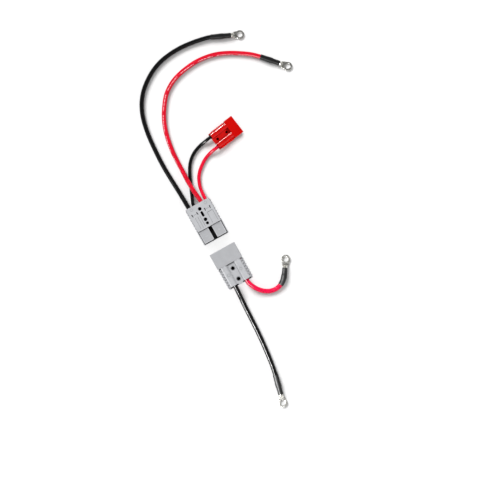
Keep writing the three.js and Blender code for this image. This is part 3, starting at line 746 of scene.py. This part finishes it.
def lug_mesh(cable):
    """A crimp lug: a round barrel pressed flat into a palm that ends in a ring."""
    barrel = cable.wire / 2 + WIRE_GAP + BARREL_WALL + 0.05
    half_palm = LUG.palm_thickness / 2
    low = -barrel
    pressed_length = LUG.barrel_start - LUG.wedge_start
    profile = [(-LUG.barrel_end, 0, barrel - 0.3), (-LUG.barrel_end + 0.3, 0, barrel)]
    for k in range(9):
        profile.append((
            -LUG.barrel_start + pressed_length * k / 8, k / 8,
            barrel + (LUG.palm_half - barrel) * k / 8))
    profile.append((-LUG.ring_radius + LUG.hole_radius, 1, LUG.palm_half_at_ring))
    rings = []
    for y, pressed, width in profile:
        share = pressed * pressed * (3 - 2 * pressed)
        thick = barrel + (half_palm - barrel) * share
        middle = (low + half_palm) * share
        power = 1 - 0.55 * share
        ring = []
        for angle in angles(36):
            c = math.copysign(abs(math.cos(angle)) ** power, math.cos(angle))
            s = math.copysign(abs(math.sin(angle)) ** power, math.sin(angle))
            ring.append((width * c, y, middle + thick * s))
        rings.append(ring)
    high = low + LUG.palm_thickness
    ring_plate = pin(LUG.ring_radius, 0, 0, low, high, (0.35, 0.45), 48)
    stud_hole = pin(LUG.hole_radius, 0, 0, low, high, (-0.3, -0.3), 40)
    wire_hole = prism(
        circle(barrel - BARREL_WALL, 32), "y", -LUG.barrel_end, -LUG.bore_start, ends=(-0.25, 0))
    return combine(loft(rings), joined=[ring_plate], cut=[stud_hole, wire_hole])


JACKET_SPACING = 2.2   # millimetres between the rings of a jacket's mesh
SLEEVE_SPACING = 1.1   # and of a sleeve's


def add_lead(cable, jacket, far_pieces=()):
    """A cable along its route, with what is on its end."""
    place = Matrix.Translation(HARNESS_CENTRE) @ TO_METRES
    route = catmull_rom(cable.points)
    total = curve_length(route)
    spacing = total / round(total / cable.step)
    sleeve_steps = cable.sleeve[2] if cable.sleeve else 0
    jacket_end = total - spacing * sleeve_steps / 2
    path = stretch(route, 0, jacket_end, JACKET_SPACING)
    tube = add_piece(
        f"{cable.name}_cable", tube_mesh(path, cable.diameter / 2), place, jacket, 60)
    pieces = list(far_pieces)
    if cable.sleeve:
        outer, inner, _ = cable.sleeve
        covered = stretch(route, total - spacing * sleeve_steps, total, SLEEVE_SPACING)
        pieces.append(add_piece(
            f"{cable.name}_sleeve", sleeve_mesh(covered, outer, inner), place,
            BLACK_SLEEVE, 60))
        along = (route[-1] - route[-2]).normalized()
        heading = math.atan2(along.y, along.x) - math.pi / 2
        centre = route[-1] + LUG.sleeve_end * along
        centre.z = route[-1].z
        lug_place = place @ Matrix.Translation(centre) @ Matrix.Rotation(heading, 4, "Z")
        pieces.append(add_piece(
            f"{cable.name}_lug", lug_mesh(cable), lug_place, TINNED_COPPER))
        strands = strand_bundle(cable.wire / 2, -LUG.barrel_end, -LUG.bore_start - CLEARANCE)
        pieces.append(add_piece(
            f"{cable.name}_lug_wire", strands, lug_place, BARE_COPPER, 50))


# ---- connector housing

def heights(size):
    middle = size.height / 2
    contact_top = middle - MID_GAP
    tongue_low = size.hood_plate + CLEARANCE
    return SimpleNamespace(
        middle=middle,
        contact_top=contact_top,
        contact_low=contact_top - size.contact_thickness,
        tongue_low=tongue_low,
        tongue_top=tongue_low + size.tongue_thickness,
        hood_inside=size.height - size.hood_plate,
        hump_top=size.height - size.hump_drop,
        valley_floor=size.height - size.valley_depth)


def pole_span(side, inner, outer):
    return sorted((side * inner, side * outer))


def rear_body(size, plastic):
    """Flat tongue side, sloped grip bands, and two humps with a valley between them."""
    z = heights(size)
    soft = size.edge
    outline = mirrored([
        (size.body_half - size.body_chamfer, 0, soft),
        (size.body_half, size.body_chamfer, soft),
        (size.body_half, size.shoulder_low, 2 * soft),
        (size.hump_outer, size.shoulder_high, soft),
        (size.hump_outer, z.hump_top - size.hump_bevel, 2 * soft),
        (size.hump_outer - size.hump_bevel, z.hump_top, 2 * soft),
        (size.valley_half + size.hump_bevel, z.hump_top, 2 * soft),
        (size.valley_half, z.hump_top - size.hump_bevel, 2 * soft),
        (size.valley_half - size.valley_slope, z.valley_floor, soft),
    ])
    body = prism(outline, "y", -size.length, -size.engagement, ends=(1.5 * soft, 0), facets=1)
    painted(body, plastic.skin)
    body.materials.append(plastic.band)
    # The sloped faces of the grip bands are painted in half shade: painted shade on the sides.
    for face in body.polygons:
        sloped = abs(face.normal.x) > 0.5 and abs(face.center.x) > size.hump_outer
        face.material_index = int(sloped and face.center.y > -size.length + 1)
    return body


def hood(size, plastic):
    """Hood block, matte on top, hollow at the mating end, with a low barrier down its middle."""
    z = heights(size)
    half = size.width / 2
    low = z.middle + MID_GAP
    chamfer = size.block_chamfer
    soft = size.edge
    outline = mirrored([
        (half, low, 0.4 * soft),
        (half, size.height - chamfer, 2 * soft),
        (half - chamfer, size.height, 2 * soft),
    ])
    block = prism(outline, "y", -size.hood_block, 0, ends=(0.7 * soft, 0.7 * soft))
    inside = half - size.side_wall
    rim = inside + 0.4 * size.edge
    section = mirrored([
        (rim, low - 2), (rim, low + 0.3), (inside, low + 1), (inside, z.hood_inside, 1.2)])
    mouth = -0.45 * size.tongue_setback
    hollow = prism(section, "y", -size.engagement, mouth)
    lip = prism(section, "y", mouth - 0.01, 0, ends=(0, -0.5 * soft))
    barrier = bar(
        -size.barrier_half, size.barrier_half, -size.engagement - 1, -size.contact_setback,
        z.hood_inside - size.barrier_height, z.hood_inside + 1, soft, (soft / 2, 0))
    painted(block, plastic.skin)
    block.materials.append(plastic.panel)
    for face in block.polygons:
        face.material_index = int(face.normal.z > 0.3)
    # The hollow, its flared rim and the barrier are painted nearly black: painted shade in the gaps
    # round the tongues and the slot between them. The lip at the mouth keeps the skin's colour.
    painted(hollow, plastic.inside)
    painted(lip, plastic.skin)
    painted(barrier, plastic.inside)
    return combine(combine(block, cut=[hollow, lip]), joined=[barrier])


def tongue(size, side, plastic):
    """A tongue with a shallow panel on its outer face that frames a raised polarity mark."""
    z = heights(size)
    soft = size.edge
    x0, x1 = pole_span(side, size.tongue_inner, size.tongue_outer)
    front = -size.tongue_setback
    border = size.panel_border
    foot = -size.engagement
    plate = bar(
        x0, x1, foot - 1, front, z.tongue_low, z.tongue_top, 2 * soft, (0.7 * soft, 0.7 * soft))
    panel = bar(
        x0 + border, x1 - border, foot + border, front - border,
        z.tongue_low, z.tongue_low + MARK_DEPTH, soft, (-0.2, 0))
    groove = bar(
        x0 - 1, x1 + 1, foot, foot + size.step_groove,
        z.tongue_low - 1, z.tongue_low + GROOVE_DEPTH)
    long = size.contact_width * 0.18
    thin = size.contact_width * 0.045
    cx = (x0 + x1) / 2
    cy = foot / 2
    strokes = [rectangle(cx - long, cx + long, cy - thin, cy + thin, thin * 0.9)]
    if side > 0:
        strokes.append(rectangle(cx - thin, cx + thin, cy - long, cy + long, thin * 0.9))
    marks = [
        prism(stroke, "z", z.tongue_low + 0.05, z.tongue_low + 2 * MARK_DEPTH, ends=(0.15, 0))
        for stroke in strokes
    ]
    painted(plate, plastic.skin)
    painted(panel, plastic.panel)
    # The groove at the step is painted nearly black: a painted shadow line along the step.
    painted(groove, plastic.inside)
    for mark in marks:
        painted(mark, plastic.skin)
    return combine(combine(plate, cut=[panel, groove]), joined=marks)


def grip_ribs(size):
    """Rounded ribs that cross the sloped shoulder and run down each side."""
    rise = size.rib_height
    normal = Vector((
        size.shoulder_high - size.shoulder_low, size.body_half - size.hump_outer,
    )).normalized() * rise
    buried = 2.2 * rise
    right = [
        (size.body_half - buried, 2 * rise),
        (size.body_half - 0.2 * rise, 2 * rise),
        (size.body_half + rise, 3.2 * rise, 0.8 * rise),
        (size.body_half + rise, size.shoulder_low + normal.y / 2, 1.5 * rise),
        (size.hump_outer + normal.x, size.shoulder_high + normal.y, 0.9 * rise),
        (size.hump_outer - buried, size.shoulder_high - 0.3 * rise),
        (size.body_half - buried, size.shoulder_low - rise),
    ]
    left = [(-corner[0], *corner[1:]) for corner in reversed(right)]
    ribs = []
    for i in range(size.rib_count):
        y = -size.rib_first - i * size.rib_pitch
        for outline in (right, left):
            ribs.append(prism(
                outline, "y", y - size.rib_width / 2, y + size.rib_width / 2,
                ends=(0.95 * rise, 0.95 * rise)))
    return ribs


def pole_cuts(size, side):
    """For each pole: the wire bore, the slot for the contact blade, and the rear cut-back."""
    z = heights(size)
    x0, x1 = pole_span(side, size.bore_inner, size.bore_outer)
    half = size.bore_height / 2
    bore = prism(
        rectangle(x0, x1, z.middle - half, z.middle + half, FULLY_ROUND * half),
        "y", -size.length, -size.length + size.bore_depth, ends=(-size.edge, 0), steps=9)
    centre = side * contact_centre(size)
    passage = prism(
        rectangle(centre - size.passage_half, centre + size.passage_half,
                  z.tongue_top, size.passage_height),
        "y", -size.barrel_front - 1.5, -size.engagement + 0.5)
    n0, n1 = pole_span(side, size.bore_inner + 1.2, size.bore_outer - 1.2)
    notch = bar(
        n0, n1, -size.length - 1, -size.length + size.notch, z.middle, size.height,
        ends=(0, -0.4 * size.edge))
    return [bore, passage, notch]


def web_cuts(size):
    """Two mounting holes right through, a key slot and a small hole."""
    soft = 0.9 * size.edge
    seat = heights(size).valley_floor - SEAT_DEPTH
    start, end, width = size.key_slot
    at, radius = size.small_hole
    return [
        *[pin(size.mounting_radius, 0, -y, 0, seat, (-soft, -0.35)) for y in size.mounting_holes],
        bar(
            -width / 2, width / 2, -end, -start, 0, size.web_depth, FULLY_ROUND * width / 2,
            (-soft, 0), 8),
        pin(radius, 0, -at, 0, size.web_depth, (-soft, 0), 28),
    ]


def seat_cuts(size):
    """A shallow seat round each mounting hole, in the valley's floor and the humps beside it."""
    seat = heights(size).valley_floor - SEAT_DEPTH
    return [
        pin(size.counterbore_radius, 0, -y, seat, size.height + 1, (0.7, 0), 40)
        for y in size.mounting_holes]


def pocket_cuts(size):
    """A shallow pocket in the valley behind the hood and a line along each valley wall, for painted
    shade.
    """
    floor = heights(size).valley_floor
    span = (floor - MARK_DEPTH, floor + 0.5)
    half = size.valley_half - size.valley_slope - 0.3
    start = -size.hood_block
    cuts = [bar(-half, half, start - size.pocket, start, *span)]
    for side in (-1, 1):
        x0, x1 = pole_span(side, half - size.valley_line, half)
        cuts.append(bar(x0, x1, -size.length + 2, start, *span))
    return cuts


LATCH_OUTLINE = ((-0.85, -2.3, 0.6), (0.85, -2.3, 0.6), (0.45, 2.3, 0.4), (-0.45, 2.3, 0.4))


def latch_cut(size, x):
    """A slanted comma-shaped slot: a round head with a thin tail."""
    turned = Matrix.Rotation(math.copysign(0.14, x), 2)
    scale = size.latch_scale
    outline = []
    for a, b, radius in LATCH_OUTLINE:
        point = turned @ Vector((a, b)) * scale
        outline.append((x + point.x, -size.latch_y + point.y, radius * scale))
    return prism(outline, "z", 0, 1.2, ends=(-0.12, 0))


def dash_cuts(size):
    """Short dashes between each pair of latch slots."""
    near, far = size.latch_x
    dashes = []
    for side in (-1, 1):
        for k in (2, 3, 4):
            x = side * (near + (far - near) * k / 6)
            dashes.append(bar(
                x - 0.4, x + 0.4, -size.latch_y - 0.35, -size.latch_y + 0.35,
                0, 0.4, 0.2, (-0.1, 0)))
    return dashes


def ring_cut(radius, x, y, low, high):
    """A fine ring-shaped groove, as an ejector pin leaves."""
    return combine(
        pin(radius, x, y, low, high), cut=[pin(radius - 0.5, x, y, low - 1, high + 1)])


def circle_cuts(size):
    """Ejector rings on the tongue side and on the humps."""
    z = heights(size)
    cuts = []
    for side in (-1, 1):
        cuts.append(ring_cut(
            size.mark_radius, side * size.ejector_x, -size.ejector_y, -1, 1.5 * MARK_DEPTH))
        cuts.append(ring_cut(
            size.mark_radius, side * size.mark_x, -size.mark_y,
            z.hump_top - 1.5 * MARK_DEPTH, z.hump_top + 1))
    return cuts


def face_lines(size):
    """Fine moulded lines on the tongue side: a frame on the + pole, three lines on the other."""
    front = -size.engagement - 2.5
    rear = -size.latch_y + 5.8
    left, right = size.frame_x
    fine = 0.22
    lines = [rectangle(left, right, rear - 0.35, rear + 0.35)]
    lines += [rectangle(x - fine, x + fine, rear, front) for x in (left, right)]
    lines += [rectangle(-x - fine, -x + fine, rear - 0.8, front) for x in size.line_x]
    return [prism(line, "z", -1, 0.5) for line in lines]


def housing(size, plastic):
    solids = [
        hood(size, plastic), tongue(size, -1, plastic), tongue(size, 1, plastic),
        *[painted(rib, plastic.rib) for rib in grip_ribs(size)],
    ]
    latches = [latch_cut(size, side * x) for side in (-1, 1) for x in size.latch_x]
    # Holes, bores, slots, latches and rear cut-backs are painted nearly black, seats and ejector
    # rings in half shade, and dashes, face lines and valley pockets in deep shade: painted shade.
    black_shade_cuts = [*pole_cuts(size, -1), *pole_cuts(size, 1), *web_cuts(size), *latches]
    cuts = [painted(cut, plastic.band) for cut in seat_cuts(size) + circle_cuts(size)]
    cuts += [painted(cut, plastic.inside) for cut in black_shade_cuts]
    cuts += [
        painted(cut, plastic.seam)
        for cut in dash_cuts(size) + face_lines(size) + pocket_cuts(size)]
    return combine(rear_body(size, plastic), joined=solids, cut=cuts)


# ---- contacts and springs

def contact_centre(size):
    return (size.tongue_inner + size.tongue_outer) / 2


def contact(size, side, barrels):
    """A flat blade with a rounded nose, a shoulder plate, and a crimp barrel for each wire."""
    z = heights(size)
    centre = side * contact_centre(size)
    half = size.contact_width / 2
    nose = -size.contact_setback
    soft = size.contact_thickness / 3
    blade = prism([
        (-size.barrel_front, z.contact_low, 0.15),
        (nose - 2 * soft, z.contact_low, 2 * soft),
        (nose, z.contact_low + soft, soft),
        (nose, z.contact_top - soft, 0.8 * soft),
        (nose - soft, z.contact_top, soft),
        (-size.barrel_front, z.contact_top, 0.15),
    ], "x", centre - half, centre + half, ends=(0.3, 0.3))
    xs = [side * x for x, _ in barrels]
    reach = 2
    shoulder = prism(
        rectangle(min(*xs, centre - half + reach) - reach, max(*xs, centre + half - reach) + reach,
                  z.contact_low, z.contact_top, 0.4),
        "y", -size.barrel_front - 1, -size.barrel_front + 3, ends=(0.3, 0.3))
    tubes = []
    hollows = []
    for x, cable in barrels:
        inner = cable.wire / 2 + WIRE_GAP
        rear = -size.barrel_front - size.barrel_length
        tubes.append(prism(
            circle(inner + BARREL_WALL, 32, side * x, z.middle),
            "y", rear, -size.barrel_front, ends=(0.2, 0.3)))
        hollows.append(prism(
            circle(inner, 32, side * x, z.middle),
            "y", rear, -size.barrel_front - 1.2, ends=(-0.25, 0)))
    return combine(blade, joined=[shoulder, *tubes], cut=hollows)


def leaf_spring(size, side):
    """A bowed leaf spring between the tongue and the contact blade."""
    z = heights(size)
    room = z.contact_low - z.tongue_top - size.spring_thickness - 2 * CLEARANCE
    rear = -size.length + size.bore_depth + 1
    front = -size.engagement / 3.5
    steps = 24
    under = []
    for i in range(steps + 1):
        bow = z.tongue_top + CLEARANCE + room * math.sin(math.pi * i / steps)
        under.append((rear + (front - rear) * i / steps, bow))
    over = [(y, height + size.spring_thickness) for y, height in reversed(under)]
    centre = side * contact_centre(size)
    half = size.spring_width / 2
    return prism([*under, *over], "x", centre - half, centre + half, ends=(0.12, 0.12))


def add_connector(name, size, place, plastic, negative, positive):
    """One connector half: its housing, and each pole's contact, spring and wire ends."""
    z = heights(size)
    shell = housing(size, plastic)
    pieces = [add_piece(f"{name}_housing", shell, place, None)]
    for pole, side, barrels in (("negative", -1, negative), ("positive", 1, positive)):
        label = f"{name}_{pole}"
        pieces.append(add_piece(
            f"{label}_contact", contact(size, side, barrels), place,
            SILVERED_COPPER))
        spring = add_piece(
            f"{label}_spring", leaf_spring(size, side), place, SPRING_STEEL)
        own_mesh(spring)
        pieces.append(spring)
        for x, cable in barrels:
            strands = strand_bundle(
                cable.wire / 2, -size.length + size.strip + CLEARANCE,
                -size.barrel_front - 1.2 - CLEARANCE)
            strands.transform(Matrix.Translation((side * x, 0, z.middle)))
            pieces.append(add_piece(
                f"{cable.name}_{name}_wire", strands, place, BARE_COPPER, 50))
    return pieces


# ---- floor and light

def add_sheet(name, outline, grey, height, body=None):
    """A flat matt sheet of the stage: the floor, or a sheet of painted shade on it that rides a
    body.
    """
    sheet = add_object(name, mesh_of([(x, y, 0) for x, y in outline], [(0, 1, 2, 3)]))
    nodes = Nodes(name)
    nodes.set(Base_Color=(grey, grey, grey, 1), Roughness=0.9, Specular_IOR_Level=0)
    sheet.data.materials.append(nodes.owner)
    sheet.location.z = height
    if body:
        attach(sheet, body)
    return sheet


def add_hole_shade_sheet(size, place, body):
    """A black sheet under a housing's through holes: painted shade, so the holes look black."""
    half = size.mounting_radius + 2
    front, rear = size.mounting_holes
    outline = [
        (place @ Vector((*corner, 0))).xy
        for corner in rectangle(-half, half, -rear - half, -front + half)]
    add_sheet("card", outline, 0.01, FLOOR_HEIGHT + 0.1 * MM, body)


SKY_STRENGTH = 1.1
SKY_STOPS = ((0, 0.3), (0.3, 1), (0.62, 1), (0.9, 0.16))  # (height, brightness)
REFLECTOR_DISTANCE = 2


def add_sky():
    """A white studio that is dimmer low down, and straight above where level faces mirror it."""
    nodes = Nodes("studio", bpy.data.worlds, "Background")
    split = nodes.add("SeparateXYZ")
    nodes.link(nodes.add("TexCoord").outputs["Generated"], split.inputs[0])
    stops = [(height, (grey, grey, grey)) for height, grey in SKY_STOPS]
    nodes.set(Color=nodes.ramp(split.outputs["Z"], *stops), Strength=SKY_STRENGTH)
    bpy.context.scene.world = nodes.owner


def from_view(right, up, elevation):
    """The direction towards a light that stands right and up of the view, so many degrees high."""
    level = (right * VIEW_RIGHT + up * VIEW_UP).normalized()
    height = math.radians(elevation)
    return math.cos(height) * level + Vector((0, 0, math.sin(height)))


def aimed(light, towards):
    light.rotation_mode = "QUATERNION"
    light.rotation_quaternion = (-towards).to_track_quat("-Z", "Y")


def linked(name, items):
    group = bpy.data.collections.new(name)
    for item in items:
        group.objects.link(item)
    return group


def add_sun(name, strength, spread, towards, lit, shadowed_by=None):
    """A soft sun for some objects only. Its shadows may be left to some objects as well."""
    data = bpy.data.lights.new(name, "SUN")
    data.energy = strength
    data.angle = math.radians(spread)
    sun = add_object(name, data)
    sun.visible_glossy = False
    aimed(sun, towards)
    sun.light_linking.receiver_collection = linked(f"{name}_receivers", lit)
    if shadowed_by:
        sun.light_linking.blocker_collection = linked(f"{name}_blockers", shadowed_by)


def add_reflector(name, direction, width, height, power, lit):
    """A soft box that only shows in the gloss of some pieces: light along bevels or cables."""
    data = bpy.data.lights.new(name, "AREA")
    data.shape = "RECTANGLE"
    data.size = width
    data.size_y = height
    data.energy = power
    box = add_object(name, data)
    box.location = VIEW_AIM + REFLECTOR_DISTANCE * direction
    box.visible_diffuse = False
    aimed(box, direction)
    box.light_linking.receiver_collection = linked(f"{name}_receivers", lit)


# ---- the whole object

add_camera()
harness = add_connector(
    "harness", LARGE, HARNESS_PLACE, GREY_PLASTIC,
    negative=[(15.3, LONG_BLACK), (6.5, SHORT_BLACK)],
    positive=[(7.1, LONG_RED), (15.8, SHORT_RED)])
battery = add_connector(
    "battery", LARGE, BATTERY_PLACE, GREY_PLASTIC,
    negative=[(10.4, BATTERY_BLACK)], positive=[(10.4, BATTERY_RED)])
charger = add_connector(
    "charger", SMALL, CHARGER_PLACE, RED_PLASTIC,
    negative=[(9.8, SHORT_BLACK)], positive=[(9.8, SHORT_RED)])

add_lead(LONG_BLACK, BLACK_JACKET)
add_lead(LONG_RED, PRINTED_RED_JACKET)
add_lead(BATTERY_BLACK, BLACK_JACKET)
add_lead(BATTERY_RED, BRIGHT_RED_JACKET)
add_lead(SHORT_BLACK, BLACK_JACKET, charger)
add_lead(SHORT_RED, RED_JACKET, charger)
floor = add_sheet("floor", rectangle(-6, 6, -6, 6), 0.56, FLOOR_HEIGHT)
add_hole_shade_sheet(LARGE, HARNESS_PLACE, "harness")
add_hole_shade_sheet(LARGE, BATTERY_PLACE, "battery_half")
add_hole_shade_sheet(SMALL, CHARGER_PLACE, "harness")
add_sky()

pieces = [item for item in bpy.context.scene.objects if item.name.endswith("_detail")]
leads = [
    item for item in pieces if any(kind in item.name for kind in ("_cable", "_sleeve", "_lug"))]
battery_ends = [item for item in leads if item.name.startswith("battery")]
battery_leads = [item for item in battery_ends if "_lug" not in item.name]
glossy = [item for item in leads if "_cable" in item.name or item in battery_ends]
dull = [item for item in leads if item not in glossy]
# Each sun's strength, the degrees it spans, and where it stands in the view.
add_sun("key", 2.3, 24, from_view(-0.75, 1, 64), pieces)
add_sun("charger_fill", 2, 24, from_view(0.62, -0.8, 18), [charger[0]])
add_sun("floor_high", 0.7, 30, from_view(-0.75, 1, 80), [floor])
add_sun("floor_low", 5.2, 30, from_view(-0.75, 1, 41), [floor], shadowed_by=leads + charger[1:])
# Where each reflector stands, its width and height in metres, and its watts.
add_reflector("charger_reflector", from_view(-0.56, 0.83, 5), 1.6, 0.3, 240, [charger[0]])
add_reflector("left_reflector", from_view(-1, -0.35, 5), 1.2, 0.24, 40, [harness[0], battery[0]])
add_reflector("cable_reflector", from_view(-0.6, -1, 42), 1.4, 0.14, 170, glossy)
add_reflector("lug_reflector", from_view(-0.6, -1, 42), 1.4, 0.14, 60, dull)
add_reflector("battery_reflector", from_view(-0.92, -0.39, 47), 1, 0.1, 220, battery_leads)
bpy.context.scene.view_settings.view_transform = "Standard"
